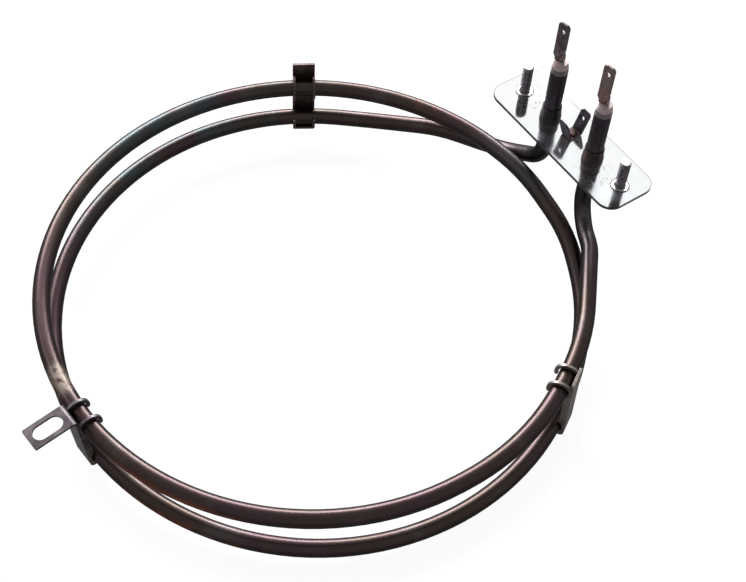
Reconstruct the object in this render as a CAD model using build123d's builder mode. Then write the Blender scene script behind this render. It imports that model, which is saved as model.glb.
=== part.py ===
"""Tubular heating element: a two-turn round coil that stands behind a convection fan.

One metal-sheathed tube makes both turns, one under the other. Its two ends rise through a
flat mounting plate with two studs and end in push-on tabs, and three sheet-metal clips hold
the turns apart, one of them with a slotted fixing tab.

Frame: millimetres, +Z along the studs and terminals. The origin is the middle of the plate's
mating face, +X runs from the left stud to the right one, and the coil lies below, towards -Y.
Angles round the coil are counted from +X, anticlockwise seen from above.
"""
from math import cos, radians, sin
import os

from build123d import *

# ---- tube
SHEATH_DIAMETER = 6.5
SHEATH_WALL = 0.6
FILL_GAP = 0.02              # round the powder pressed in the legs, and round the pin in it
PIN_DIAMETER = 2.4
PIN_END_Z = -13.0            # where the cold pins end inside the legs
TUBE_END_Z = 24.0            # mouth of the tube above the plate

# ---- coil
COIL_RADIUS = 98.0           # of the tube's centreline
COIL_AXIS_X = -13.2          # axis of the upper turn, off the plate's middle
COIL_SETBACK = 8.3           # from the plate's centreline to the upper turn's centreline
UPPER_TURN_DROP = 28.0       # from the mating face to the upper turn's centreline
TURN_PITCH = 19.3            # from one turn to the other, at their centres
LOWER_TURN_SHIFT = 1.85      # the lower turn lies a little across the upper one
LOWER_TURN_SHIFT_ANGLE = 67.7
LOWER_TURN_TILT = 1.67       # and rises a little towards -X
UPPER_START_ANGLE = -3.0     # the upper turn runs clockwise from here
UPPER_END_ANGLE = 98.0
LOWER_START_ANGLE = 31.5     # and the lower turn from here
LOWER_END_ANGLE = 142.0

# ---- legs and the bends that lead to them
LEG_SPACING = 25.0
LEG_BEND_RADIUS = 12.0
RIGHT_LEG_FOOT = 3.2         # corner of the right leg under the upper turn's level
LEFT_LEG_FOOT = -5.5         # corner of the left leg, above that level

# ---- free runs between legs and turns. Each corner is given by its angle round the coil, its
# ---- distance outside the coil's centreline and its drop under the upper turn's level.
RIGHT_RUN_CORNERS = ((66.7, 8.9, 2.7), (41.2, 3.8, 0.8))
RIGHT_RUN_LEAD = 27.5        # straight into the upper turn
RIGHT_RUN_RADII = (26.0, 103.0, 94.0)
UPPER_LEAD = 14.0            # straight out of the upper turn
CROSSOVER_CORNERS = ((73.2, 4.4, 6.5), (57.5, 5.9, 16.0))
CROSSOVER_LEAD = 18.0        # straight into the lower turn
CROSSOVER_RADII = (80.0, 65.0, 65.0, 75.0)
LOWER_LEAD = 14.0            # straight out of the lower turn
LEFT_RUN_CORNERS = ((116.0, 3.0, 10.5), (100.2, 7.2, 7.2))
LEFT_RUN_RADII = (75.0, 80.0, 36.0)

# ---- mounting plate
PLATE_LENGTH = 72.0
PLATE_WIDTH = 24.0
PLATE_THICKNESS = 1.2
PLATE_CORNER_RADIUS = 6.0
LEG_HOLE_CLEARANCE = 0.1     # all round the tube
STUD_SPACING = 56.6
STUD_DIAMETER = 4.0
STUD_HEIGHT = 13.0
STUD_END_CHAMFER = 0.5
STUD_SHANK_DIAMETER = 4.6    # clinched in the plate
STUD_HOLE_CLEARANCE = 0.05
STUD_SHOULDER_DIAMETER = 7.2
STUD_SHOULDER_HEIGHT = 0.25
STUD_HEAD_DIAMETER = 7.2
STUD_HEAD_HEIGHT = 0.9

# ---- collars that hold the tube in the plate
COLLAR_DIAMETER = 8.2
COLLAR_RIM = 1.2             # straight part over the plate
COLLAR_HEIGHT = 5.6
COLLAR_TOP_LAND = 0.25       # wall left at the top of the cone
COLLAR_CLEARANCE = 0.05

# ---- terminal ends
SEAL_DEPTH = 2.5             # seal inside the tube's mouth
SEAL_HEIGHT = 4.6            # seal above the mouth
SEAL_TOP_DIAMETER = 5.0
SEAL_CLEARANCE = 0.05
TAB_WIDTH = 4.8
TAB_THICKNESS = 0.8
TAB_LENGTH = 16.4
TAB_STEM_WIDTH = 3.0
TAB_STEM_LENGTH = 1.2
TAB_HOLE_DIAMETER = 1.6
TAB_HOLE_INSET = 3.6         # from the tab's tip
TAB_TIP_CHAMFER = 0.9
TAB_CORNER_RADIUS = 0.6
TAB_OFFSET = -1.3            # of each tab along its width, from its leg's axis
TAB_TWIST = 12.0             # of the tabs about their own legs
PIN_FLAT_LENGTH = 4.5        # half-round end of the pin, welded to the tab's back

# ---- earth tab
EARTH_X = -0.8
EARTH_Y = 0.9
EARTH_BLADE_WIDTH = 4.8
EARTH_BLADE_LENGTH = 9.2
EARTH_THICKNESS = 0.8
EARTH_BEND_RADIUS = 0.6      # inside the bends
EARTH_BASE_LENGTH = 4.4      # flat between the two bends
EARTH_LEAN = 19.0            # of each blade from upright
EARTH_HOLE_DIAMETER = 1.6
EARTH_HOLE_INSET = 3.3
EARTH_TIP_CHAMFER = 0.8
RIVET_DIAMETER = 1.8
RIVET_HEAD_DIAMETER = 2.8
RIVET_HEAD_HEIGHT = 0.6
RIVET_HEAD_CHAMFER = 0.3
RIVET_CLEARANCE = 0.05

# ---- clips
CLIP_WIDTH = 9.0
CLIP_THICKNESS = 1.0
CLIP_BEND_RADIUS = 0.8       # inside the bends
CLIP_CORNER_RADIUS = 0.6
CLIP_SEAT_CLEARANCE = 0.35   # round the tube
CLAW_HEIGHT = 1.4            # of the claws over the tube
CLAW_WRAP = 205.0            # how far a claw goes round, from the clip's back
CLAW_TIP_RADIUS = 0.6
CLIP_FLOOR_REACH = 3.0       # of the floor past the lower tube's centre
CLIP_SPINE = 2.6             # flange left beside the back, between the tubes
BACK_CLIP_ANGLE = 149.0
BACK_CLIP_TOP = 9.5          # above the upper tube's centre
SIDE_CLIP_ANGLE = 30.5
SIDE_CLIP_TOP = 6.0
SLOTTED_CLIP_ANGLE = 274.3
SLOTTED_CLIP_TOP = 7.5
FIXING_TAB_LENGTH = 15.3     # from the back's outer face
SLOT_WIDTH = 5.8
SLOT_LENGTH = 11.2
SLOT_INSET = 1.9             # from the slot's end to the tab's end

UPPER_Z = -UPPER_TURN_DROP
COIL_AXIS = Vector(COIL_AXIS_X, -COIL_SETBACK - COIL_RADIUS, 0)
UPPER_CENTRE = COIL_AXIS + Vector(0, 0, UPPER_Z)
LOWER_SHIFT = Vector(LOWER_TURN_SHIFT, 0, 0).rotate(Axis.Z, LOWER_TURN_SHIFT_ANGLE)
LOWER_CENTRE = UPPER_CENTRE + LOWER_SHIFT - Vector(0, 0, TURN_PITCH)
UPPER_TURN = Plane(UPPER_CENTRE)
LOWER_TURN = Plane(LOWER_CENTRE).rotated((0, LOWER_TURN_TILT, 0))
LEG_X = LEG_SPACING / 2
STUD_X = STUD_SPACING / 2
SHEATH_RADIUS = SHEATH_DIAMETER / 2
SHEATH_BORE_RADIUS = SHEATH_RADIUS - SHEATH_WALL


def round_coil(angle, stand_off, drop):
    """A point at an angle round the coil, off its centreline, under the upper turn's level."""
    return COIL_AXIS + Vector(COIL_RADIUS + stand_off, 0, UPPER_Z - drop).rotate(Axis.Z, angle)


def on_turn(turn, angle, ahead=0.0):
    """A point on a turn, or on its tangent that far ahead, clockwise."""
    return turn.from_local_coords(Vector(COIL_RADIUS, -ahead, 0).rotate(Axis.Z, angle))


def most_of_turn(turn, start_angle, end_angle):
    """The arc of a turn, clockwise from its start nearly all the way round to its end."""
    halfway = (start_angle + end_angle - 360) / 2
    return ThreePointArc(on_turn(turn, start_angle), on_turn(turn, halfway), on_turn(turn, end_angle))


def tube_route():
    """The tube's centreline, from the right leg's top, down and round to the left leg's top."""
    with BuildLine() as route:
        FilletPolyline(
            (LEG_X, 0, TUBE_END_Z),
            (LEG_X, 0, UPPER_Z - RIGHT_LEG_FOOT),
            *(round_coil(*corner) for corner in RIGHT_RUN_CORNERS),
            on_turn(UPPER_TURN, UPPER_START_ANGLE, ahead=-RIGHT_RUN_LEAD),
            on_turn(UPPER_TURN, UPPER_START_ANGLE),
            radius=(LEG_BEND_RADIUS, *RIGHT_RUN_RADII),
        )
        most_of_turn(UPPER_TURN, UPPER_START_ANGLE, UPPER_END_ANGLE)
        FilletPolyline(
            on_turn(UPPER_TURN, UPPER_END_ANGLE),
            on_turn(UPPER_TURN, UPPER_END_ANGLE, ahead=UPPER_LEAD),
            *(round_coil(*corner) for corner in CROSSOVER_CORNERS),
            on_turn(LOWER_TURN, LOWER_START_ANGLE, ahead=-CROSSOVER_LEAD),
            on_turn(LOWER_TURN, LOWER_START_ANGLE),
            radius=CROSSOVER_RADII,
        )
        most_of_turn(LOWER_TURN, LOWER_START_ANGLE, LOWER_END_ANGLE)
        FilletPolyline(
            on_turn(LOWER_TURN, LOWER_END_ANGLE),
            on_turn(LOWER_TURN, LOWER_END_ANGLE, ahead=LOWER_LEAD),
            *(round_coil(*corner) for corner in LEFT_RUN_CORNERS),
            (-LEG_X, 0, UPPER_Z - LEFT_LEG_FOOT),
            (-LEG_X, 0, TUBE_END_Z),
            radius=(*LEFT_RUN_RADII, LEG_BEND_RADIUS),
        )
    return route.wires()[0]


def centred(x, y=0.0, twist=0.0):
    """An upright plane through a point of the mating face, facing -Y before its twist."""
    across = Vector(1, 0, 0).rotate(Axis.Z, twist)
    return Plane(origin=(x, y, 0), x_dir=across, z_dir=across.cross(Vector(0, 0, 1)))


def save(part, name):
    part.label = name
    export_step(part, f"parts/{name}.step")


os.makedirs("parts", exist_ok=True)

# ---- the tube: closed round its core, bored in both legs for the pins
route = tube_route()
with BuildPart() as sheath:
    with BuildSketch(Plane(origin=route @ 0, z_dir=route % 0)):
        Circle(SHEATH_RADIUS)
    sweep(path=route)
    with BuildSketch(Plane.XY.offset(PIN_END_Z)):
        with GridLocations(LEG_SPACING, 0, 2, 1):
            Circle(SHEATH_BORE_RADIUS)
    extrude(amount=TUBE_END_Z - PIN_END_Z, mode=Mode.SUBTRACT)
save(sheath.part, "heater_sheath")

# ---- mounting plate
with BuildPart() as plate:
    with BuildSketch(Plane.XY.offset(-PLATE_THICKNESS)):
        RectangleRounded(PLATE_LENGTH, PLATE_WIDTH, PLATE_CORNER_RADIUS)
        with GridLocations(LEG_SPACING, 0, 2, 1):
            Circle(SHEATH_RADIUS + LEG_HOLE_CLEARANCE, mode=Mode.SUBTRACT)
        with GridLocations(STUD_SPACING, 0, 2, 1):
            Circle(STUD_SHANK_DIAMETER / 2 + STUD_HOLE_CLEARANCE, mode=Mode.SUBTRACT)
        with Locations((EARTH_X, EARTH_Y)):
            Circle(RIVET_DIAMETER / 2 + RIVET_CLEARANCE, mode=Mode.SUBTRACT)
    extrude(amount=PLATE_THICKNESS)
save(plate.part, "mounting_plate")


def stud(x):
    """A stud clinched in the plate: head below, shank through it, thin shoulder above."""
    with BuildPart() as body:
        with BuildSketch(Plane((x, 0, -PLATE_THICKNESS - STUD_HEAD_HEIGHT))):
            Circle(STUD_HEAD_DIAMETER / 2)
        extrude(amount=STUD_HEAD_HEIGHT)
        with BuildSketch(Plane((x, 0, -PLATE_THICKNESS))):
            Circle(STUD_SHANK_DIAMETER / 2)
        extrude(amount=PLATE_THICKNESS)
        with BuildSketch(Plane((x, 0, 0))):
            Circle(STUD_SHOULDER_DIAMETER / 2)
        extrude(amount=STUD_SHOULDER_HEIGHT)
        with BuildSketch(Plane((x, 0, STUD_SHOULDER_HEIGHT))):
            Circle(STUD_DIAMETER / 2)
        extrude(amount=STUD_HEIGHT - STUD_SHOULDER_HEIGHT)
        chamfer(body.edges().group_by(Axis.Z)[-1], STUD_END_CHAMFER)
    return body.part


def sheath_collar(x):
    """A collar round the tube on the mating face: a short rim and a cone up to the tube."""
    bore = SHEATH_RADIUS + COLLAR_CLEARANCE
    rim = COLLAR_DIAMETER / 2
    with BuildPart() as body:
        with BuildSketch(centred(x)):
            with BuildLine():
                Polyline(
                    (bore, 0), (rim, 0), (rim, COLLAR_RIM),
                    (bore + COLLAR_TOP_LAND, COLLAR_HEIGHT), (bore, COLLAR_HEIGHT), close=True,
                )
            make_face()
        revolve(axis=Axis((x, 0, 0), (0, 0, 1)))
    return body.part


SEAL_TOP_Z = TUBE_END_Z + SEAL_HEIGHT
POWDER_TOP_Z = TUBE_END_Z - SEAL_DEPTH


def leg_powder(x):
    """Pressed powder round the pin, from the end of the leg's bore up to the seal."""
    with BuildPart() as body:
        with BuildSketch(Plane((x, 0, PIN_END_Z))):
            Circle(SHEATH_BORE_RADIUS - FILL_GAP)
            Circle(PIN_DIAMETER / 2 + FILL_GAP, mode=Mode.SUBTRACT)
        extrude(amount=POWDER_TOP_Z - PIN_END_Z)
    return body.part


def terminal_pin(x):
    """A cold pin, round inside the tube and seal, half-round where the tab is welded on."""
    with BuildPart() as body:
        with BuildSketch(Plane((x, 0, PIN_END_Z))):
            Circle(PIN_DIAMETER / 2)
        extrude(amount=SEAL_TOP_Z - PIN_END_Z)
        with BuildSketch(Plane(origin=(x, 0, SEAL_TOP_Z), x_dir=centred(x, twist=TAB_TWIST).x_dir)):
            Circle(PIN_DIAMETER / 2)
            Rectangle(PIN_DIAMETER, PIN_DIAMETER, align=(Align.CENTER, Align.MAX), mode=Mode.SUBTRACT)
        extrude(amount=PIN_FLAT_LENGTH)
    return body.part


def end_seal(x):
    """A seal round the pin: a plug inside the tube's mouth and a tapering bead over it."""
    bore = PIN_DIAMETER / 2 + SEAL_CLEARANCE
    plug = SHEATH_BORE_RADIUS - SEAL_CLEARANCE
    top = SEAL_TOP_DIAMETER / 2
    with BuildPart() as body:
        with BuildSketch(centred(x)):
            with BuildLine():
                Polyline(
                    (top, SEAL_TOP_Z), (bore, SEAL_TOP_Z), (bore, POWDER_TOP_Z),
                    (plug, POWDER_TOP_Z), (plug, TUBE_END_Z), (SHEATH_RADIUS, TUBE_END_Z),
                )
                TangentArc((SHEATH_RADIUS, TUBE_END_Z), (top, SEAL_TOP_Z), tangent=(0, 1))
            make_face()
        revolve(axis=Axis((x, 0, 0), (0, 0, 1)))
    return body.part


def tab_terminal(x):
    """A push-on tab that stands on the seal with its back against the pin's flat."""
    foot = SEAL_TOP_Z + TAB_STEM_LENGTH
    with BuildPart() as body:
        with BuildSketch(centred(x, twist=TAB_TWIST)) as outline:
            with Locations((TAB_OFFSET, foot)):
                Rectangle(TAB_WIDTH, TAB_LENGTH, align=(Align.CENTER, Align.MIN))
            chamfer(outline.vertices().group_by(Axis.Z)[-1], TAB_TIP_CHAMFER)
            fillet(outline.vertices().group_by(Axis.Z)[0], TAB_CORNER_RADIUS)
            with Locations((TAB_OFFSET, SEAL_TOP_Z)):
                Rectangle(TAB_STEM_WIDTH, TAB_STEM_LENGTH + TAB_CORNER_RADIUS, align=(Align.CENTER, Align.MIN))
            with Locations((TAB_OFFSET, foot + TAB_LENGTH - TAB_HOLE_INSET)):
                Circle(TAB_HOLE_DIAMETER / 2, mode=Mode.SUBTRACT)
        extrude(amount=TAB_THICKNESS)
    return body.part


for side, x_sign in (("left", -1), ("right", 1)):
    save(stud(x_sign * STUD_X), f"stud_{side}")
    save(sheath_collar(x_sign * LEG_X), f"sheath_collar_{side}")
    save(leg_powder(x_sign * LEG_X), f"leg_powder_{side}")
    save(terminal_pin(x_sign * LEG_X), f"terminal_pin_{side}")
    save(end_seal(x_sign * LEG_X), f"end_seal_{side}")
    save(tab_terminal(x_sign * LEG_X), f"tab_terminal_{side}")

# ---- earth tab: one strip folded up into two leaning blades, riveted to the plate
lean = radians(EARTH_LEAN)
blade_root_y = EARTH_BASE_LENGTH / 2
blade_tip_y = blade_root_y + EARTH_BLADE_LENGTH * sin(lean)
blade_tip_z = EARTH_THICKNESS + EARTH_BLADE_LENGTH * cos(lean)
earth_section = Plane(origin=(EARTH_X - EARTH_BLADE_WIDTH / 2, EARTH_Y, 0), x_dir=(0, 1, 0), z_dir=(1, 0, 0))
with BuildPart() as earth_tab:
    with BuildSketch(earth_section):
        with BuildLine():
            FilletPolyline(
                (-blade_tip_y, blade_tip_z), (-blade_root_y, EARTH_THICKNESS),
                (blade_root_y, EARTH_THICKNESS), (blade_tip_y, blade_tip_z),
                radius=EARTH_BEND_RADIUS,
            )
            offset(amount=EARTH_THICKNESS, side=Side.RIGHT)
        make_face()
    extrude(amount=EARTH_BLADE_WIDTH)
    tip_corners = earth_tab.edges().filter_by(lambda edge: abs(edge.length - EARTH_THICKNESS) < 0.001)
    chamfer(tip_corners, EARTH_TIP_CHAMFER)
    for y_sign in (-1, 1):
        up_blade = Vector(0, y_sign * sin(lean), cos(lean))
        root = Vector(EARTH_X, EARTH_Y + y_sign * blade_root_y, EARTH_THICKNESS)
        centre = root + up_blade * (EARTH_BLADE_LENGTH - EARTH_HOLE_INSET)
        with BuildSketch(Plane(origin=centre, x_dir=(1, 0, 0), z_dir=Vector(1, 0, 0).cross(up_blade))):
            Circle(EARTH_HOLE_DIAMETER / 2)
        extrude(amount=2 * EARTH_THICKNESS, both=True, mode=Mode.SUBTRACT)
    with BuildSketch(Plane((EARTH_X, EARTH_Y, 0))):
        Circle(RIVET_DIAMETER / 2 + RIVET_CLEARANCE)
    extrude(amount=EARTH_THICKNESS, mode=Mode.SUBTRACT)
save(earth_tab.part, "earth_tab")

with BuildPart() as earth_rivet:
    with BuildSketch(Plane((EARTH_X, EARTH_Y, -PLATE_THICKNESS - RIVET_HEAD_HEIGHT))):
        Circle(RIVET_HEAD_DIAMETER / 2)
    extrude(amount=RIVET_HEAD_HEIGHT)
    with BuildSketch(Plane((EARTH_X, EARTH_Y, -PLATE_THICKNESS))):
        Circle(RIVET_DIAMETER / 2)
    extrude(amount=PLATE_THICKNESS + EARTH_THICKNESS)
    with BuildSketch(Plane((EARTH_X, EARTH_Y, EARTH_THICKNESS))):
        Circle(RIVET_HEAD_DIAMETER / 2)
    extrude(amount=RIVET_HEAD_HEIGHT)
    chamfer(earth_rivet.edges().group_by(Axis.Z)[0], RIVET_HEAD_CHAMFER)
    chamfer(earth_rivet.edges().group_by(Axis.Z)[-1], RIVET_HEAD_CHAMFER)
save(earth_rivet.part, "earth_rivet")

# ---- clips: channels that stand on the coil's outside and hook round both turns
CLIP_SEAT = SHEATH_RADIUS + CLIP_SEAT_CLEARANCE
CLIP_BACK = CLIP_SEAT + CLIP_THICKNESS


def clip_section(angle):
    """A clip's section plane: origin in the upper turn, Y away from the lower one, X outward."""
    outward = Vector(1, 0, 0).rotate(Axis.Z, angle)
    along = outward.cross(Vector(0, 0, 1))
    crossings = route.intersect(Plane(origin=COIL_AXIS, z_dir=along)).vertices()
    near_clip = [point.center() for point in crossings if (point.center() - COIL_AXIS).dot(outward) > 0]
    lower_tube, upper_tube = sorted(near_clip, key=lambda point: point.Z)
    rise = upper_tube - lower_tube
    return Plane(origin=upper_tube, x_dir=rise.cross(along), z_dir=along), rise.length


def coil_clip(angle, top, tab_length=0.0):
    """A clip at an angle round the coil; with a tab length, its back is bent square out on top."""
    section, span = clip_section(angle)
    start = section.offset(-CLIP_WIDTH / 2)
    floor_y = -span - CLIP_SEAT
    inner_face = [(-CLIP_FLOOR_REACH, floor_y), (CLIP_SEAT, floor_y), (CLIP_SEAT, top)]
    bends = [CLIP_BEND_RADIUS]
    if tab_length:
        inner_face.append((CLIP_BACK + tab_length, top))
        bends.append(CLIP_BEND_RADIUS + CLIP_THICKNESS)
    with BuildPart() as body:
        with BuildSketch(start):
            with BuildLine():
                FilletPolyline(*inner_face, radius=bends)
                offset(amount=CLIP_THICKNESS, side=Side.RIGHT)
            make_face()
        extrude(amount=CLIP_WIDTH)
        corners = body.edges().filter_by(lambda edge: abs(edge.length - CLIP_THICKNESS) < 0.001)
        fillet(corners, CLIP_CORNER_RADIUS)
        if tab_length:
            slot_middle = Vector(CLIP_BACK + tab_length - SLOT_INSET - SLOT_LENGTH / 2, top, 0)
            slot_centre = section.from_local_coords(slot_middle)
            with BuildSketch(Plane(origin=slot_centre, x_dir=section.x_dir, z_dir=section.y_dir)):
                SlotOverall(SLOT_LENGTH, SLOT_WIDTH)
            extrude(amount=-2 * CLIP_THICKNESS, mode=Mode.SUBTRACT)
        with BuildSketch(start, section.offset(CLIP_WIDTH / 2 - CLIP_THICKNESS)) as flange:
            with Locations((CLIP_BACK, 0)):
                Rectangle(CLIP_SPINE, span / 2, align=(Align.MAX, Align.MAX))
            Circle(CLIP_SEAT, mode=Mode.SUBTRACT)
            with BuildLine():
                inside = CenterArc((0, 0), CLIP_SEAT, 0, CLAW_WRAP)
                outside = CenterArc((0, 0), CLIP_SEAT + CLAW_HEIGHT, 0, CLAW_WRAP)
                Line(inside @ 0, outside @ 0)
                Line(inside @ 1, outside @ 1)
            make_face()
            fillet(flange.vertices().filter_by(lambda corner: corner.X < 0), CLAW_TIP_RADIUS)
            mirror(about=Plane.XZ.offset(span / 2))
            with Locations((CLIP_BACK, -span / 2)):
                Rectangle(CLAW_HEIGHT, 2 * span, align=(Align.MIN, Align.CENTER), mode=Mode.SUBTRACT)
            with Locations((0, floor_y - CLIP_THICKNESS)):
                Rectangle(4 * CLIP_SEAT, CLAW_HEIGHT, align=(Align.CENTER, Align.MAX), mode=Mode.SUBTRACT)
        extrude(amount=CLIP_THICKNESS)
    return body.part


save(coil_clip(BACK_CLIP_ANGLE, BACK_CLIP_TOP), "coil_clip_back")
save(coil_clip(SIDE_CLIP_ANGLE, SIDE_CLIP_TOP), "coil_clip_side")
save(coil_clip(SLOTTED_CLIP_ANGLE, SLOTTED_CLIP_TOP, FIXING_TAB_LENGTH), "coil_clip_slotted")
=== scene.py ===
"""Tubular heating element: finishes, stud threads, weld metal and a plain studio stage.

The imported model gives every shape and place. This script finishes its nodes, cuts threads on
two new studs that stand in for the plain ones, adds the brazing and weld metal, and sets the
camera and lights. Lengths are metres in the model's own frame.
"""
from math import atan2, cos, pi, sin, tau

import bpy
from mathutils import Matrix, Vector


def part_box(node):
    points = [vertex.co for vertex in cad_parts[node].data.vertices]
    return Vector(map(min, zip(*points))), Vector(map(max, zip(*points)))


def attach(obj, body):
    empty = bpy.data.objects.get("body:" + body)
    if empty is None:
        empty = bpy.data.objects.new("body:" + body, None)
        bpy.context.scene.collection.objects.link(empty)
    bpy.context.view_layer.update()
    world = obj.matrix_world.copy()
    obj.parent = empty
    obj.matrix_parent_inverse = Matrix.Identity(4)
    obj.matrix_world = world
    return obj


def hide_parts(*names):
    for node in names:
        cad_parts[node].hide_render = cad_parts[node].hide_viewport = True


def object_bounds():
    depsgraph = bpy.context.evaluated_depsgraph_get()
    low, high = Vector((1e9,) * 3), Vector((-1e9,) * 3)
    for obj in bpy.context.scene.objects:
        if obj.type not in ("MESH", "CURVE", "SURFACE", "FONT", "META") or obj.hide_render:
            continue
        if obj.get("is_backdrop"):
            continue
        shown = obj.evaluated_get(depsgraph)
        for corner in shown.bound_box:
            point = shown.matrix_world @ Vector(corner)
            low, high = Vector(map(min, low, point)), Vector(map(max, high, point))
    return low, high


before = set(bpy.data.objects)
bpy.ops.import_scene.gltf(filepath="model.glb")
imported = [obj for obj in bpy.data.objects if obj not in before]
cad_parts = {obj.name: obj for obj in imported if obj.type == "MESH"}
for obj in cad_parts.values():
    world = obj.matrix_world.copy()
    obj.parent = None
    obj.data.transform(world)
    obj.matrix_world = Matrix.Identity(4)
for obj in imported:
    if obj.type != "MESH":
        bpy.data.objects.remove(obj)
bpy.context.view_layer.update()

bl_info = {
    "name": "Tubular heating element",
    "version": (1, 0, 0),
    "blender": (4, 5, 0),
    "location": "3D View > Sidebar > Heater",
    "description": "Finishes, stud threads, weld metal and stage for a tubular heating element",
    "category": "Object",
}

BODY = "root"
MM = 0.001
SIDES = ("left", "right")


# ---- shader maths

class Wire:
    """A socket among a graph's nodes. Arithmetic on it adds Math nodes."""

    def __init__(self, graph, socket):
        self.graph = graph
        self.socket = socket

    def __add__(self, other):
        return self.graph.math("ADD", self, other)

    __radd__ = __add__

    def __sub__(self, other):
        return self.graph.math("SUBTRACT", self, other)

    def __rsub__(self, other):
        return self.graph.math("SUBTRACT", other, self)

    def __mul__(self, other):
        return self.graph.math("MULTIPLY", self, other)

    __rmul__ = __mul__


class Graph:
    """The nodes of one material or world, cleared and made anew."""

    def __init__(self, tree):
        self.tree = tree
        tree.nodes.clear()

    def node(self, kind, settings, sockets, out=0):
        """A node of a kind: its settings first, then its sockets' values or links."""
        made = self.tree.nodes.new(kind)
        for key, value in settings.items():
            setattr(made, key, value)
        for key, value in sockets.items():
            if isinstance(value, Wire):
                self.tree.links.new(value.socket, made.inputs[key])
            else:
                made.inputs[key].default_value = value
        return Wire(self, made.outputs[out]) if out is not None else made

    def math(self, operation, first, second=0.0):
        """A Math node's value for one or two numbers or wires."""
        return self.node("ShaderNodeMath", {"operation": operation}, {0: first, 1: second})

    def mix(self, mask, first, second):
        """A colour that goes from first to second as the mask goes from 0 to 1."""
        sockets = {0: mask}
        for plug, tone in ((6, first), (7, second)):
            sockets[plug] = tone if isinstance(tone, Wire) else (*tone, 1.0)
        return self.node("ShaderNodeMix", {"data_type": "RGBA"}, sockets, 2)

    def rays(self, *kinds):
        """1 for rays of the kinds given, such as Is Camera Ray, and 0 for the rest."""
        path = self.node("ShaderNodeLightPath", {}, {}, None)
        seen = sum(Wire(self, path.outputs[kind]) for kind in kinds)
        return self.node("ShaderNodeClamp", {}, {"Value": seen})


class Finish(Graph):
    """A metal, rubber, powder or paint, built node by node on Object coordinates."""

    def __init__(self, name):
        self.material = bpy.data.materials.new(name)
        self.material.use_nodes = True
        super().__init__(self.material.node_tree)
        self.place = self.node("ShaderNodeTexCoord", {}, {}, "Object")

    def noise(self, size, detail=3.0, rough=0.55, stretch=(1.0, 1.0, 1.0), shift=(0.0, 0.0, 0.0)):
        """Cloudy noise about 0.5, with lumps some size metres across."""
        placing = {"Vector": self.place, "Location": shift, "Scale": stretch}
        spot = self.node("ShaderNodeMapping", {}, placing)
        sockets = {"Vector": spot, "Scale": 1.0 / size, "Detail": detail, "Roughness": rough}
        return self.node("ShaderNodeTexNoise", {}, sockets)

    def band(self, value, low, high):
        """0 under low, 1 over high and smooth between them."""
        sockets = {"Value": value, "From Min": low, "From Max": high}
        return self.node("ShaderNodeMapRange", {"interpolation_type": "SMOOTHSTEP"}, sockets)

    def near(self, point, inner, outer):
        """1 within inner metres of a point, fading to 0 at outer."""
        ends = {0: self.place, 1: Vector(point)}
        distance = self.node("ShaderNodeVectorMath", {"operation": "DISTANCE"}, ends, "Value")
        return 1 - self.band(distance, inner, outer)

    def axis(self, name):
        return self.node("ShaderNodeSeparateXYZ", {}, {0: self.place}, name)

    def levelness(self):
        """1 on a level face, whether it looks up or down, and 0 on an upright one."""
        facing = self.node("ShaderNodeNewGeometry", {}, {}, "Normal")
        return self.math("ABSOLUTE", self.node("ShaderNodeSeparateXYZ", {}, {0: facing}, "Z"))

    def bump(self, height, depth):
        """A normal from a height map whose full range is depth metres."""
        return self.node("ShaderNodeBump", {}, {"Height": height, "Distance": depth}, "Normal")

    def surface(self, colour, roughness, metallic, normal, **constants):
        """The finished material. Constants are other sockets of the shader."""
        sockets = {"Roughness": roughness, "Metallic": metallic, "Normal": normal}
        sockets["Base Color"] = colour if isinstance(colour, Wire) else (*colour, 1.0)
        for key, value in constants.items():
            sockets[key.replace("_", " ")] = value
        shader = self.node("ShaderNodeBsdfPrincipled", {}, sockets)
        self.node("ShaderNodeOutputMaterial", {}, {"Surface": shader}, None)
        return self.material


# ---- finishes

DARK_EDGE = (0.35, 0.35, 0.38, 1.0)     # reflection at a grazing angle on oxidised steel

# Where the tube's heat tints and stains are centred, and the painted highlight on the right leg's
# bend.
LEFT_STRETCH = (-0.100, -0.110, -0.036)
FAR_STRETCH = (0.0, -0.020, -0.030)
BESIDE_SLOTTED_CLIP = (-0.0225, -0.2045, -0.0265)
FRONT_STRETCH = (0.036, -0.191, -0.036)
BESIDE_CROSSOVER = (-0.0575, -0.0210, -0.0265)
RIGHT_LEG_BEND = (0.0216, -0.005, -0.028)

# Heights between which the rust comes in or goes out: a low and a high one for each.
UPPER_TURN_FLANK = (-0.0278, -0.0258)
UNDER_UPPER_TURN = (-0.0380, -0.0360)
LOWER_TURN_FLANK = (-0.0480, -0.0462)

LEG_TINT_START = (-0.002, 0.001)        # heights over which the legs' own tints take over


def rust_zone(f, rise):
    """1 on the lower flanks of both turns, where the rust shows."""
    below_upper = 1 - f.band(rise, *UPPER_TURN_FLANK)
    on_upper = f.band(rise, *UNDER_UPPER_TURN)
    on_lower = 1 - f.band(rise, *LOWER_TURN_FLANK)
    return below_upper * (on_upper + on_lower)


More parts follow.
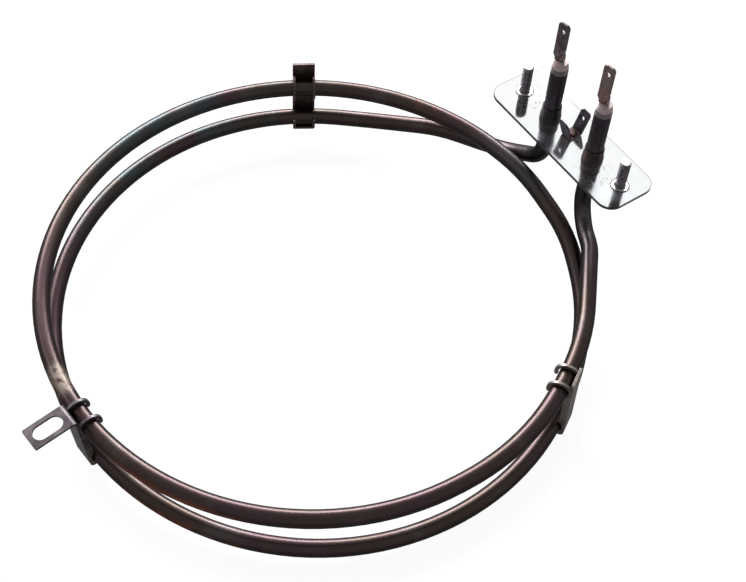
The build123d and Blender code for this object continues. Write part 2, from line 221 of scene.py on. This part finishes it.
def sheath_metal(settings):
    """Oxidised steel tube: brown, with mauve and teal heat tints, stains and fine draw marks."""
    f = Finish("sheath_metal")
    rise = f.axis("Z")
    wander = f.noise(0.050, 2.0)
    cloud = f.noise(0.016, 4.0, shift=(3.0, 1.0, 2.0))
    speck = f.noise(0.0012, 3.0, 0.6)
    streak = f.noise(0.009, 3.0, 0.6, stretch=(0.4, 0.7, 1.6))
    above_plate = f.band(rise, *LEG_TINT_START)

    colour = f.mix(f.band(wander, 0.40, 0.62), settings.brown, settings.mauve)
    teal = f.near(LEFT_STRETCH, 0.020, 0.075) * f.band(cloud, 0.35, 0.60)
    colour = f.mix(teal * 0.75, colour, settings.teal)
    far_teal = f.near(FAR_STRETCH, 0.010, 0.050) * f.band(wander, 0.42, 0.60)
    colour = f.mix(far_teal * 0.5, colour, settings.teal)
    grey = f.band(f.noise(0.024, 5.0, 0.65, shift=(7.0, 0.0, 0.0)), 0.54, 0.70)
    colour = f.mix(grey * 0.40, colour, settings.scale_and_sheen_grey)
    tan = f.near(BESIDE_SLOTTED_CLIP, 0.003, 0.009)
    tan = tan * f.band(f.noise(0.0028, 4.0, 0.7), 0.34, 0.56)
    colour = f.mix(tan * 0.8, colour, settings.tan)
    rust = f.near(FRONT_STRETCH, 0.012, 0.040) * rust_zone(f, rise) * f.band(streak, 0.36, 0.58)
    far_rust = f.near(BESIDE_CROSSOVER, 0.001, 0.010) * f.band(streak, 0.40, 0.60)
    colour = f.mix(rust * 0.70 + far_rust * 0.20, colour, settings.rust)
    # Painted highlight: a lighter grey, flecked smudge on the right leg's bend, where the tube
    # turns.
    painted_bend_highlight = f.near(RIGHT_LEG_BEND, 0.003, 0.009) * f.band(speck, 0.30, 0.60)
    colour = f.mix(painted_bend_highlight * 0.6, colour, settings.scale_and_sheen_grey)
    leg_cloud = f.band(f.noise(0.009, 3.0), 0.42, 0.60)
    legs = f.mix(leg_cloud, settings.leg_dark, settings.leg_violet)
    colour = f.mix(above_plate, colour, legs)
    fleck = f.band(f.noise(0.0026, 2.0, 0.5, shift=(0.0, 5.0, 0.0)), 0.66, 0.74)
    colour = f.mix(fleck * 0.35, colour, settings.brown_dark)

    roughness = 0.27 + cloud * 0.14 + speck * 0.03 + tan * 0.20 + above_plate * 0.10
    height = speck * 0.15 + f.noise(0.009, 2.0)
    return f.surface(
        colour, roughness, 0.92, f.bump(height, 0.00008), Specular_Tint=DARK_EDGE,
        Coat_Weight=0.22, Coat_Roughness=0.30,
    )


PLATE_CORNER = 6.0 * MM
PAINTED_RIM_SHADE = (-0.00040, -0.00012)        # painted shade as a dark line along the plate's rim, inwards from the edge
STAINS_BY_LEGS = (((0.018, -0.004, 0.0), 0.010), ((-0.020, 0.003, 0.0), 0.009))


def plate_margin(f):
    """Distance from the plate's rounded outline, in metres, below 0 inside it."""
    low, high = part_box("mounting_plate")
    over = [
        f.math("ABSOLUTE", f.axis(name)) - (half - PLATE_CORNER)
        for name, half in (("X", (high.x - low.x) / 2), ("Y", (high.y - low.y) / 2))
    ]
    outside = [f.math("MAXIMUM", value) for value in over]
    radial = f.math("SQRT", outside[0] * outside[0] + outside[1] * outside[1])
    inside = f.math("MINIMUM", f.math("MAXIMUM", over[0], over[1]))
    return radial + inside - PLATE_CORNER


def plate_metal(settings):
    """Bright zinc-plated sheet, a little wavy, with haze, fingerprints and a few scuffs."""
    f = Finish("plate_metal")
    haze = f.noise(0.020, 4.0, 0.6)
    scuff = f.noise(0.0030, 3.0, 0.6, stretch=(0.15, 1.0, 1.0))
    sheared = 1 - f.band(f.levelness(), 0.35, 0.65)

    colour = f.mix(f.band(haze, 0.40, 0.66) * 0.6, settings.zinc, settings.zinc_haze)
    stains = sum(f.near(point, 0.002, reach) for point, reach in STAINS_BY_LEGS)
    stains = stains * f.band(f.noise(0.0022, 3.0, 0.7), 0.52, 0.66)
    colour = f.mix(stains * 0.55, colour, settings.zinc_stain_and_rim_shade)
    # Painted shade: a dark line along the rim, where the rolled edge looks dark in the light.
    rim = f.band(plate_margin(f), *PAINTED_RIM_SHADE)
    colour = f.mix(rim * 0.75, colour, settings.zinc_stain_and_rim_shade)
    colour = f.mix(sheared, colour, settings.sheared)

    roughness = 0.07 + sheared * 0.4
    roughness = roughness + f.band(haze, 0.45, 0.75) * 0.12 + f.band(scuff, 0.60, 0.75) * 0.10
    wave = f.noise(0.016, 1.0, 0.4) + scuff * 0.015
    return f.surface(colour, roughness, 1.0, f.bump(wave, 0.00030))


STUD_END = (0.01255, 0.0129)            # heights between which a stud's end takes the painted highlight
SHOULDER_TOP = (0.0004, 0.0007)         # and over which its shoulder loses the painted highlight
SHOULDER_HEIGHT = 0.25 * MM
SHOULDER_RIM = (0.55 * MM, 0.40 * MM)   # the shoulder's rim, left in painted shade, inwards from its edge


def stud_metal(settings):
    """Plated stud steel: painted shade in the thread, painted highlight on the end and inside the
    shoulder's rim.
    """
    f = Finish("stud_metal")
    rise = f.axis("Z")
    grain = f.noise(0.0012, 3.0, 0.6)
    inside_rim = []
    for side in SIDES:
        low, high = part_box("stud_" + side)
        reach = (high.x - low.x) / 2
        middle = ((low.x + high.x) / 2, (low.y + high.y) / 2, SHOULDER_HEIGHT)
        inside_rim.append(f.near(middle, *(reach - inset for inset in SHOULDER_RIM)))
    shoulder = (1 - f.band(rise, *SHOULDER_TOP)) * f.band(f.levelness(), 0.90, 0.98)
    # Painted highlight on the stud's level faces. The thread's dark tones stand in for shade.
    bright = f.band(rise, *STUD_END) + shoulder * sum(inside_rim)
    colour = f.mix(f.band(grain, 0.35, 0.65), settings.stud_shaded_grey, settings.stud_dark)
    colour = f.mix(bright, colour, settings.stud_painted_highlight)
    return f.surface(colour, 0.24 + grain * 0.14, 1.0, f.bump(grain, 0.00003))


def fired_steel(name, tones, stain_at, reach, size=0.004):
    """Satin sheet steel, patchy between a light and a dark tone, with one stained place."""
    f = Finish(name)
    light, dark, accent = tones
    patch = f.noise(size, 4.0, 0.62)
    grain = f.noise(0.0007, 2.0, 0.5, stretch=(1.0, 1.0, 0.3))
    blotch = f.band(f.noise(size * 0.5, 3.0, 0.6), 0.36, 0.58)
    colour = f.mix(f.band(patch, 0.36, 0.66), dark, light)
    stain = f.near(stain_at, reach * 0.3, reach) * blotch
    colour = f.mix(stain * 0.85, colour, accent)
    colour = f.mix(f.band(grain, 0.62, 0.75) * 0.3, colour, dark)
    roughness = 0.28 + patch * 0.14 + grain * 0.08
    height = grain * 0.4 + patch
    return f.surface(colour, roughness, 0.6, f.bump(height, 0.00006), Specular_Tint=DARK_EDGE)


SEAL_HEIGHT = 4.6 * MM                  # over the tube's mouth


def seal_rubber(settings):
    """Milky pink silicone, its lower half darkened by the hot tube."""
    f = Finish("seal_rubber")
    cloud = f.noise(0.003, 3.0)
    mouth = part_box("end_seal_left")[1].z - SEAL_HEIGHT
    low = 1 - f.band(f.axis("Z"), mouth + 1.9 * MM, mouth + 2.7 * MM)
    colour = f.mix(f.band(cloud, 0.38, 0.64), settings.seal, settings.seal_shade)
    colour = f.mix(low * 0.90, colour, settings.seal_brown)
    return f.surface(colour, 0.38 + cloud * 0.1, 0.0, f.bump(cloud, 0.00008), Coat_Weight=0.25)


def pressed_powder():
    """White magnesia, pressed hard and slightly grainy."""
    f = Finish("pressed_powder")
    grain = f.noise(0.0006, 3.0, 0.7)
    colour = f.mix(grain, (0.80, 0.78, 0.73), (0.66, 0.64, 0.60))
    return f.surface(colour, 0.9, 0.0, f.bump(grain, 0.00006))


# ---- modelling helpers

def deselect():
    bpy.ops.object.select_all(action="DESELECT")


def dress(node, material):
    """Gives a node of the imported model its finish."""
    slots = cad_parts[node].data.materials
    slots.clear()
    slots.append(material)


def finish_piece(piece, name, material):
    """Settles a modelled piece: its place in its mesh, its finish, name, slot and body."""
    deselect()
    piece.select_set(True)
    bpy.context.view_layer.objects.active = piece
    bpy.ops.object.transform_apply(location=True, rotation=True, scale=True)
    piece.name = name
    piece.data.name = name
    piece.data.materials.clear()
    piece.data.materials.append(material)
    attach(piece, BODY)
    return piece


def turned(x, y, profile, sides):
    """A closed turned piece on an upright axis. The profile lists radius and height, bottom up."""
    deselect()
    (radius, level), *steps = profile
    centre = (x, y, level)
    bpy.ops.mesh.primitive_circle_add(
        vertices=sides, radius=radius, fill_type="NGON", location=(x, y, level),
    )
    piece = bpy.context.object
    bpy.ops.object.mode_set(mode="EDIT")
    bpy.ops.mesh.select_all(action="SELECT")
    for next_radius, next_level in steps:
        bpy.ops.mesh.extrude_region_move(
            TRANSFORM_OT_translate={"value": (0.0, 0.0, next_level - level)},
        )
        scale = next_radius / radius
        bpy.ops.transform.resize(value=(scale, scale, 1.0), center_override=centre)
        radius, level = next_radius, next_level
    bpy.ops.mesh.select_all(action="SELECT")
    bpy.ops.mesh.normals_make_consistent(inside=False)
    bpy.ops.object.mode_set(mode="OBJECT")
    return piece


def smooth(piece, degrees):
    deselect()
    piece.select_set(True)
    bpy.context.view_layer.objects.active = piece
    bpy.ops.object.shade_smooth_by_angle(angle=degrees * pi / 180)


def apply_modifier(piece, kind, name, **settings):
    deselect()
    piece.select_set(True)
    bpy.context.view_layer.objects.active = piece
    made = piece.modifiers.new(name, kind)
    for key, value in settings.items():
        setattr(made, key, value)
    bpy.ops.object.modifier_apply(modifier=name)


# ---- sizes and colours that a user may change

def length_setting(name, description, default):
    return bpy.props.FloatProperty(
        name=name, description=description, default=default, unit="LENGTH", subtype="DISTANCE",
        precision=5,
    )


def colour_setting(name, description, default):
    return bpy.props.FloatVectorProperty(
        name=name, description=description, default=default, subtype="COLOR", size=3,
        min=0.0, max=1.0,
    )


def level_setting(name, description, default):
    return bpy.props.FloatProperty(name=name, description=description, default=default, min=0.0)


class HeaterSizes(bpy.types.PropertyGroup):
    """Sizes of the stud threads and of the brazing and weld metal."""
    thread_pitch: length_setting("Thread pitch", "Rise of the stud thread in one turn", 0.7 * MM)
    thread_depth: length_setting("Thread depth", "Depth of the stud thread's groove", 0.33 * MM)
    thread_start: length_setting(
        "Thread start", "Height over the plate where the thread begins", 1.2 * MM,
    )
    edge_break: length_setting(
        "Edge break", "Rounding on the edges of the studs' heads", 0.15 * MM,
    )
    braze_width: length_setting(
        "Braze width", "Half the width of the brazing ring round each leg", 0.38 * MM,
    )
    spot_radius: length_setting(
        "Weld spot radius", "Radius of the weld spots on the tabs", 0.62 * MM,
    )
    earth_weld_radius: length_setting(
        "Earth weld radius", "Radius of the weld under the earth tab's rivet", 2.1 * MM,
    )


class HeaterColours(bpy.types.PropertyGroup):
    """Colours of the finishes."""
    brown: colour_setting(
        "Sheath brown", "Main colour of the oxidised tube", (0.020, 0.012, 0.009),
    )
    brown_dark: colour_setting(
        "Sheath flecks", "Small dark flecks on the tube", (0.009, 0.007, 0.007),
    )
    mauve: colour_setting("Sheath mauve", "Heat tint on the tube", (0.022, 0.011, 0.013))
    teal: colour_setting(
        "Sheath teal", "Cool heat tint on the left and far stretches", (0.014, 0.024, 0.026),
    )
    # The sheath grey serves the tube's real scale and also the painted highlight on the right leg's
    # bend.
    scale_and_sheen_grey: colour_setting(
        "Sheath grey", "Rubbed and scaled places on the tube", (0.042, 0.039, 0.038),
    )
    tan: colour_setting("Sheath tan", "Patch beside the slotted clip", (0.125, 0.105, 0.085))
    rust: colour_setting("Sheath rust", "Orange heat stain", (0.230, 0.062, 0.020))
    leg_dark: colour_setting("Leg dark", "Legs above the plate", (0.016, 0.011, 0.012))
    leg_violet: colour_setting("Leg violet", "Heat tint on the legs", (0.021, 0.015, 0.025))
    zinc: colour_setting("Zinc", "Mounting plate", (0.930, 0.940, 0.940))
    zinc_haze: colour_setting("Zinc haze", "Hazy places on the plate", (0.800, 0.860, 0.880))
    sheared: colour_setting("Sheared edge", "Dull cut edge of the plate", (0.045, 0.050, 0.060))
    # Used for the stains beside the legs and for the painted shade along the plate's rim.
    zinc_stain_and_rim_shade: colour_setting("Zinc stain", "Stains beside the legs", (0.200, 0.210, 0.210))
    # The stud's thread tones are painted shade, and its end tone is a painted highlight.
    stud_shaded_grey: colour_setting("Stud grey", "Stud thread", (0.075, 0.068, 0.076))
    stud_dark: colour_setting(
        "Stud shade", "Darker grain on the stud thread", (0.030, 0.027, 0.030),
    )
    stud_painted_highlight: colour_setting("Stud end", "End face of a stud", (0.930, 0.930, 0.940))
    seal: colour_setting("Seal", "Silicone end seal", (0.210, 0.150, 0.155))
    seal_shade: colour_setting("Seal shade", "Darker cloud in the seal", (0.160, 0.110, 0.115))
    seal_brown: colour_setting("Seal brown", "Browned foot of the seal", (0.030, 0.020, 0.024))


class HeaterStage(bpy.types.PropertyGroup):
    """Light levels, floor and lens."""
    room: level_setting("Room light", "Light from all round", 0.45)
    back: level_setting("Back light", "Brightness of the low lamp behind", 48.0)
    side: level_setting("Side light", "Brightness of the lamp at the left", 8.0)
    floor: colour_setting("Floor", "Pale floor", (0.93, 0.93, 0.93))
    lens: bpy.props.FloatProperty(
        name="Lens", description="Focal length", default=70.13, unit="CAMERA",
    )


# ---- pieces

THREAD_CREST = 0.12                     # share of half a turn that stays uncut at the crest
THREAD_FLANK = 0.76                     # and share in which the groove reaches its depth
THREAD_RINGS = 8                        # in each turn of the thread
STUD_SIDES = 48
STUD_RADIUS = 2.0 * MM
STUD_SHANK = 2.3 * MM                   # radius inside the plate
END_CHAMFER = 0.5 * MM
END_DIMPLE = 0.9 * MM


def cut_thread(piece, x, y, low, high, pitch, depth):
    """Presses a helical groove into the rings of a turned piece between two heights."""
    for vertex in piece.data.vertices:
        spot = vertex.co + piece.location
        if low < spot.z < high:
            turn = atan2(spot.y - y, spot.x - x) / tau
            phase = ((spot.z - low) / pitch - turn) % 1.0
            groove = (abs(2.0 * phase - 1.0) - THREAD_CREST) / THREAD_FLANK
            groove = max(0.0, min(1.0, groove))
            ends = min(1.0, (spot.z - low) / pitch, (high - spot.z) / (0.4 * pitch))
            reach = (spot.xy - Vector((x, y))).length
            scale = 1.0 - depth * groove * ends / reach
            vertex.co.x = x + (spot.x - x) * scale - piece.location.x
            vertex.co.y = y + (spot.y - y) * scale - piece.location.y


def make_stud(side, sizes, material):
    """A clinched stud: head, thin shoulder and a threaded shank with a chamfered end."""
    node = "stud_" + side
    low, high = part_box(node)
    x, y = (low.x + high.x) / 2, (low.y + high.y) / 2
    plate_low, plate_high = (corner.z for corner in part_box("mounting_plate"))
    wide = (high.x - low.x) / 2
    shoulder = plate_high + SHOULDER_HEIGHT
    edge = sizes.edge_break
    pitch = sizes.thread_pitch
    start = plate_high + sizes.thread_start
    head = [
        (wide - edge, low.z), (wide - edge * 0.3, low.z + edge * 0.3), (wide, low.z + edge),
        (wide, plate_low - edge), (wide - edge, plate_low),
    ]
    collar = [
        (STUD_SHANK, plate_low), (STUD_SHANK, plate_high),
        (wide - edge * 0.3, plate_high), (wide, plate_high + edge * 0.5),
        (wide - edge * 0.5, shoulder), (STUD_RADIUS + 2 * edge, shoulder),
        (STUD_RADIUS, shoulder + 2 * edge),
    ]
    thread = []
    level = start
    while level < high.z - END_CHAMFER:
        thread.append((STUD_RADIUS, level))
        level += pitch / THREAD_RINGS
    end = [
        (STUD_RADIUS, high.z - END_CHAMFER), (STUD_RADIUS - END_CHAMFER, high.z - 0.02 * MM),
        (STUD_RADIUS - END_CHAMFER - 0.1 * MM, high.z),
        (END_DIMPLE, high.z), (END_DIMPLE * 0.6, high.z - 0.12 * MM),
    ]
    piece = turned(x, y, head + collar + thread + end, STUD_SIDES)
    cut_thread(piece, x, y, start, high.z - END_CHAMFER * 0.8, pitch, sizes.thread_depth)
    smooth(piece, 38)
    finish_piece(piece, "threaded_stud_" + side, material)
    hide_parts(node)


def lump(piece, size, strength):
    """Gives weld metal an uneven skin."""
    cloud = bpy.data.textures.new("lumps", "CLOUDS")
    cloud.noise_scale = size
    apply_modifier(
        piece, "DISPLACE", "lumps", texture=cloud, strength=strength, mid_level=0.5,
        texture_coords="GLOBAL",
    )


BRAZE_RADIUS = 3.34 * MM                # of the ring's middle, just outside the leg


def make_braze(side, sizes, material):
    """A ring of brazing metal where a collar's cone meets its leg."""
    low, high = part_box("sheath_collar_" + side)
    deselect()
    bpy.ops.mesh.primitive_torus_add(
        major_radius=BRAZE_RADIUS, minor_radius=sizes.braze_width,
        major_segments=72, minor_segments=14,
        location=((low.x + high.x) / 2, (low.y + high.y) / 2, high.z),
    )
    piece = bpy.context.object
    bpy.ops.object.mode_set(mode="EDIT")
    bpy.ops.mesh.select_all(action="SELECT")
    bpy.ops.transform.resize(value=(1.0, 1.0, 1.5), center_override=piece.location)
    bpy.ops.object.mode_set(mode="OBJECT")
    lump(piece, 0.9 * MM, 0.22 * MM)
    smooth(piece, 60)
    finish_piece(piece, "braze_ring_" + side, material)


def make_weld_bead(name, place, radius, squash, turn, material):
    """A flattened, uneven bead of weld metal. Squash is its share of the radius each way."""
    deselect()
    bpy.ops.mesh.primitive_ico_sphere_add(
        subdivisions=4, radius=radius, location=place, rotation=(0.0, 0.0, turn), scale=squash,
    )
    piece = bpy.context.object
    bpy.ops.object.transform_apply(location=False, rotation=True, scale=True)
    lump(piece, radius * 0.8, radius * 0.30)
    smooth(piece, 60)
    finish_piece(piece, name, material)


TAB_TURN = 12 * pi / 180                # both tabs stand turned by this about their legs
TAB_THICKNESS = 0.8 * MM
TAB_SPOTS = ((-0.5, 2.3), (-0.2, 3.9))  # across and up from a tab's foot, in millimetres
TAB_SPOT_SQUASH = (1.0, 0.22, 0.8)


def make_tab_spots(side, sizes, material):
    """Two weld spots on a tab's front, over the pin behind it."""
    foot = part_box("tab_terminal_" + side)[0].z
    pin_low, pin_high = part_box("terminal_pin_" + side)
    x, y = (pin_low.x + pin_high.x) / 2, (pin_low.y + pin_high.y) / 2
    front = Vector((sin(TAB_TURN), -cos(TAB_TURN), 0.0)) * TAB_THICKNESS
    across = Vector((cos(TAB_TURN), sin(TAB_TURN), 0.0))
    for number, (shift, rise) in enumerate(TAB_SPOTS, 1):
        place = Vector((x, y, foot + rise * MM)) + front + across * shift * MM
        make_weld_bead(
            f"tab_weld_{side}_{number}", place, sizes.spot_radius, TAB_SPOT_SQUASH, TAB_TURN,
            material,
        )


# ---- operators

# Each steel's light tone, dark tone and stain.
COLLAR_TONES = ((0.015, 0.010, 0.012), (0.009, 0.007, 0.008), (0.032, 0.015, 0.011))
TAB_TONES = {
    "left": ((0.070, 0.054, 0.060), (0.038, 0.030, 0.036), (0.15, 0.110, 0.105)),
    "right": ((0.120, 0.088, 0.083), (0.080, 0.060, 0.058), (0.14, 0.080, 0.072)),
}
TAB_WELD_TONES = ((0.12, 0.075, 0.065), (0.045, 0.022, 0.020), (0.20, 0.14, 0.13))
PIN_TONES = ((0.50, 0.47, 0.45), (0.34, 0.31, 0.30), (0.30, 0.22, 0.18))
EARTH_TONES = ((0.055, 0.044, 0.054), (0.014, 0.010, 0.014), (0.032, 0.018, 0.013))
EARTH_WELD_TONES = ((0.050, 0.040, 0.034), (0.014, 0.009, 0.008), (0.045, 0.020, 0.013))
CLIP_TONES = {
    "coil_clip_back": ((0.062, 0.043, 0.038), (0.036, 0.025, 0.022), (0.062, 0.050, 0.036)),
    "coil_clip_side": ((0.150, 0.132, 0.120), (0.090, 0.076, 0.070), (0.050, 0.036, 0.032)),
    "coil_clip_slotted": ((0.084, 0.071, 0.077), (0.042, 0.035, 0.039), (0.088, 0.074, 0.050)),
}

# Where the stains are: places on the part, or steps from a clip's middle.
RIGHT_COLLAR = (0.0125, 0.0, 0.004)
RIGHT_TAB_WELDS = (0.0125, 0.0, 0.033)
BETWEEN_PINS = (0.0, 0.0, 0.030)
CLIP_STAINS = {
    "coil_clip_back": (0.0, 0.0, -0.020),
    "coil_clip_side": (0.0, 0.0, -0.012),
    "coil_clip_slotted": (0.0, 0.010, -0.008),
}
EARTH_WELD_RISE = 0.9 * MM              # of the weld's middle over the plate
EARTH_WELD_SQUASH = (0.85, 0.80, 0.20)


def sizes_of(context):
    return context.scene.heater_sizes


def colours_of(context):
    return context.scene.heater_colours


class HEATER_OT_sheath(bpy.types.Operator):
    """Finishes the tube, with its heat tints and stains."""
    bl_idname = "heater.sheath"
    bl_label = "Sheath"

    def execute(self, context):
        dress("heater_sheath", sheath_metal(colours_of(context)))
        return {"FINISHED"}


class HEATER_OT_plate(bpy.types.Operator):
    """Finishes the mounting plate."""
    bl_idname = "heater.plate"
    bl_label = "Mounting plate"

    def execute(self, context):
        dress("mounting_plate", plate_metal(colours_of(context)))
        return {"FINISHED"}


class HEATER_OT_studs(bpy.types.Operator):
    """Turns and threads both studs, in place of the plain ones."""
    bl_idname = "heater.studs"
    bl_label = "Studs"

    def execute(self, context):
        material = stud_metal(colours_of(context))
        for side in SIDES:
            make_stud(side, sizes_of(context), material)
        return {"FINISHED"}


class HEATER_OT_collars(bpy.types.Operator):
    """Finishes the collars and adds the brazing that seals them to the legs."""
    bl_idname = "heater.collars"
    bl_label = "Collars"

    def execute(self, context):
        material = fired_steel("collar_metal", COLLAR_TONES, RIGHT_COLLAR, 0.010, size=0.008)
        for side in SIDES:
            dress("sheath_collar_" + side, material)
            make_braze(side, sizes_of(context), material)
        return {"FINISHED"}


class HEATER_OT_terminals(bpy.types.Operator):
    """Finishes the tabs, pins, seals and powder, and adds the tabs' weld spots."""
    bl_idname = "heater.terminals"
    bl_label = "Terminals"

    def execute(self, context):
        spot = fired_steel("tab_weld_metal", TAB_WELD_TONES, RIGHT_TAB_WELDS, 0.006, size=0.001)
        pin = fired_steel("pin_metal", PIN_TONES, BETWEEN_PINS, 0.015)
        rubber = seal_rubber(colours_of(context))
        powder = pressed_powder()
        for side in SIDES:
            low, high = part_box("tab_terminal_" + side)
            foot = ((low.x + high.x) / 2, low.y, low.z)
            tab = fired_steel("tab_metal_" + side, TAB_TONES[side], foot, 0.0095)
            dress("tab_terminal_" + side, tab)
            dress("terminal_pin_" + side, pin)
            dress("end_seal_" + side, rubber)
            dress("leg_powder_" + side, powder)
            make_tab_spots(side, sizes_of(context), spot)
        return {"FINISHED"}


class HEATER_OT_earth(bpy.types.Operator):
    """Finishes the earth tab and its rivet, and adds the weld round the rivet."""
    bl_idname = "heater.earth"
    bl_label = "Earth tab"

    def execute(self, context):
        low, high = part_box("earth_rivet")
        plate_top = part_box("mounting_plate")[1].z
        middle = Vector(((low.x + high.x) / 2, (low.y + high.y) / 2, plate_top + EARTH_WELD_RISE))
        weld = fired_steel("earth_weld_metal", EARTH_WELD_TONES, middle, 0.004, size=0.001)
        dress("earth_tab", fired_steel("earth_metal", EARTH_TONES, middle, 0.0055, size=0.003))
        dress("earth_rivet", weld)
        make_weld_bead(
            "earth_weld", middle, sizes_of(context).earth_weld_radius, EARTH_WELD_SQUASH, 0.0,
            weld,
        )
        return {"FINISHED"}


class HEATER_OT_clips(bpy.types.Operator):
    """Finishes the three clips, each with its own stain."""
    bl_idname = "heater.clips"
    bl_label = "Clips"

    def execute(self, context):
        for node, tones in CLIP_TONES.items():
            low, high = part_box(node)
            place = (low + high) / 2 + Vector(CLIP_STAINS[node])
            dress(node, fired_steel(node + "_metal", tones, place, 0.014, size=0.006))
        return {"FINISHED"}


# ---- stage

CAMERA_PLACE = (0.2535, -0.2861, 0.3982)
CAMERA_BACK = (0.4713, -0.3680, 0.8016)
CAMERA_LEVEL = (0.6154, 0.7882, 0.0)    # to the camera's right, before its roll
CAMERA_ROLL = 0.0764
CAMERA_SENSOR = 36.0
CAMERA_CLIP = (0.01, 20.0)

# Each lamp's name, place, width and depth. Its brightness is in the stage's settings.
LAMPS = (
    ("back", (-0.90, 0.28, 0.50), 1.30, 0.34),
    ("side", (-0.70, -0.75, 0.55), 0.50, 0.20),
)

FLOOR_RADIUS = 4.0
FLOOR_GAP = 0.0002                      # below the part's lowest point
FLOOR_GLOW = 0.94                       # share of white in what background rays see of the floor
MIRRORED_FLOOR = (0.40, 0.40, 0.40)     # the glow's colour in mirrored and refracted rays
WHITE = (1.0, 1.0, 1.0)
BACKGROUND_RAYS = ("Is Camera Ray", "Is Glossy Ray", "Is Transmission Ray")


def aim(place, target):
    return (Vector(target) - Vector(place)).to_track_quat("-Z", "Y").to_euler()


def add_lamp(name, place, target, width, depth, brightness):
    """A soft rectangular lamp whose face has the brightness given, where 1 is a white wall's."""
    deselect()
    bpy.ops.object.light_add(type="AREA", location=place, rotation=aim(place, target))
    lamp = bpy.context.object
    lamp.name = name
    lamp.data.shape = "RECTANGLE"
    lamp.data.size = width
    lamp.data.size_y = depth
    lamp.data.energy = brightness * pi * width * depth


class HEATER_OT_stage(bpy.types.Operator):
    """Sets the camera, the soft lamps, the white room and the pale floor under the coil."""
    bl_idname = "heater.stage"
    bl_label = "Stage"

    def execute(self, context):
        scene = context.scene
        stage = scene.heater_stage
        low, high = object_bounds()
        middle = (low + high) / 2
        self.add_camera(scene, stage)
        self.add_floor(stage, middle.x, middle.y, low.z)
        self.light_room(scene, stage)
        for name, place, width, depth in LAMPS:
            add_lamp(name + "_lamp", place, middle, width, depth, getattr(stage, name))
        scene.view_settings.view_transform = "Standard"
        return {"FINISHED"}

    def add_camera(self, scene, stage):
        back = Vector(CAMERA_BACK)
        level = Vector(CAMERA_LEVEL)
        upright = back.cross(level)
        across = level * cos(CAMERA_ROLL) + upright * sin(CAMERA_ROLL)
        upward = upright * cos(CAMERA_ROLL) - level * sin(CAMERA_ROLL)
        turn = Matrix((across, upward, back)).transposed().to_4x4()
        bpy.ops.object.camera_add()
        camera = bpy.context.object
        camera.matrix_world = Matrix.Translation(CAMERA_PLACE) @ turn
        camera.data.sensor_width = CAMERA_SENSOR
        camera.data.lens = stage.lens
        camera.data.clip_start, camera.data.clip_end = CAMERA_CLIP
        scene.camera = camera

    def add_floor(self, stage, x, y, z):
        deselect()
        bpy.ops.mesh.primitive_circle_add(
            vertices=96, radius=FLOOR_RADIUS, fill_type="NGON", location=(x, y, z - FLOOR_GAP),
        )
        floor = bpy.context.object
        floor.name = "floor"
        f = Finish("floor_paint")
        cloud = f.noise(0.30, 2.0)
        tone = f.mix(cloud * 0.3, stage.floor, [part * 0.985 for part in stage.floor])
        paint = f.node("ShaderNodeBsdfDiffuse", {}, {"Color": tone})
        shown = f.mix(f.rays("Is Camera Ray"), MIRRORED_FLOOR, WHITE)
        glow = f.node("ShaderNodeEmission", {}, {"Color": shown, "Strength": 1.0})
        share = f.rays(*BACKGROUND_RAYS) * FLOOR_GLOW
        both = f.node("ShaderNodeMixShader", {}, {0: share, 1: paint, 2: glow})
        f.node("ShaderNodeOutputMaterial", {}, {"Surface": both}, None)
        floor.data.materials.append(f.material)
        floor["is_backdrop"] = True

    def light_room(self, scene, stage):
        """Light at the room's level from all round, which background rays see as white."""
        world = bpy.data.worlds.new("white_room")
        scene.world = world
        world.use_nodes = True
        room = Graph(world.node_tree)
        strength = room.rays(*BACKGROUND_RAYS) * (1.0 - stage.room) + stage.room
        light = {"Color": (*WHITE, 1.0), "Strength": strength}
        white = room.node("ShaderNodeBackground", {}, light)
        room.node("ShaderNodeOutputWorld", {}, {"Surface": white}, None)


# ---- add-on

OPERATORS = (
    HEATER_OT_sheath, HEATER_OT_plate, HEATER_OT_studs, HEATER_OT_collars, HEATER_OT_terminals,
    HEATER_OT_earth, HEATER_OT_clips, HEATER_OT_stage,
)


class HEATER_PT_panel(bpy.types.Panel):
    """Lists the pieces, their sizes and their colours."""
    bl_idname = "HEATER_PT_panel"
    bl_label = "Tubular heating element"
    bl_space_type = "VIEW_3D"
    bl_region_type = "UI"
    bl_category = "Heater"

    def draw(self, context):
        for operator in OPERATORS:
            self.layout.operator(operator.bl_idname)
        for settings, _ in GROUPS:
            group = getattr(context.scene, settings)
            box = self.layout.box()
            for name in group.bl_rna.properties.keys():
                if name not in ("rna_type", "name"):
                    box.prop(group, name)


GROUPS = (
    ("heater_sizes", HeaterSizes), ("heater_colours", HeaterColours), ("heater_stage", HeaterStage),
)


def register():
    for name, group in GROUPS:
        bpy.utils.register_class(group)
        setattr(bpy.types.Scene, name, bpy.props.PointerProperty(type=group))
    for made in (*OPERATORS, HEATER_PT_panel):
        bpy.utils.register_class(made)


def unregister():
    for made in reversed((*OPERATORS, HEATER_PT_panel)):
        bpy.utils.unregister_class(made)
    for name, group in reversed(GROUPS):
        delattr(bpy.types.Scene, name)
        bpy.utils.unregister_class(group)


def main():
    register()
    bpy.ops.heater.sheath()
    bpy.ops.heater.plate()
    bpy.ops.heater.studs()
    bpy.ops.heater.collars()
    bpy.ops.heater.terminals()
    bpy.ops.heater.earth()
    bpy.ops.heater.clips()
    bpy.ops.heater.stage()


if __name__ == "__main__":
    main()
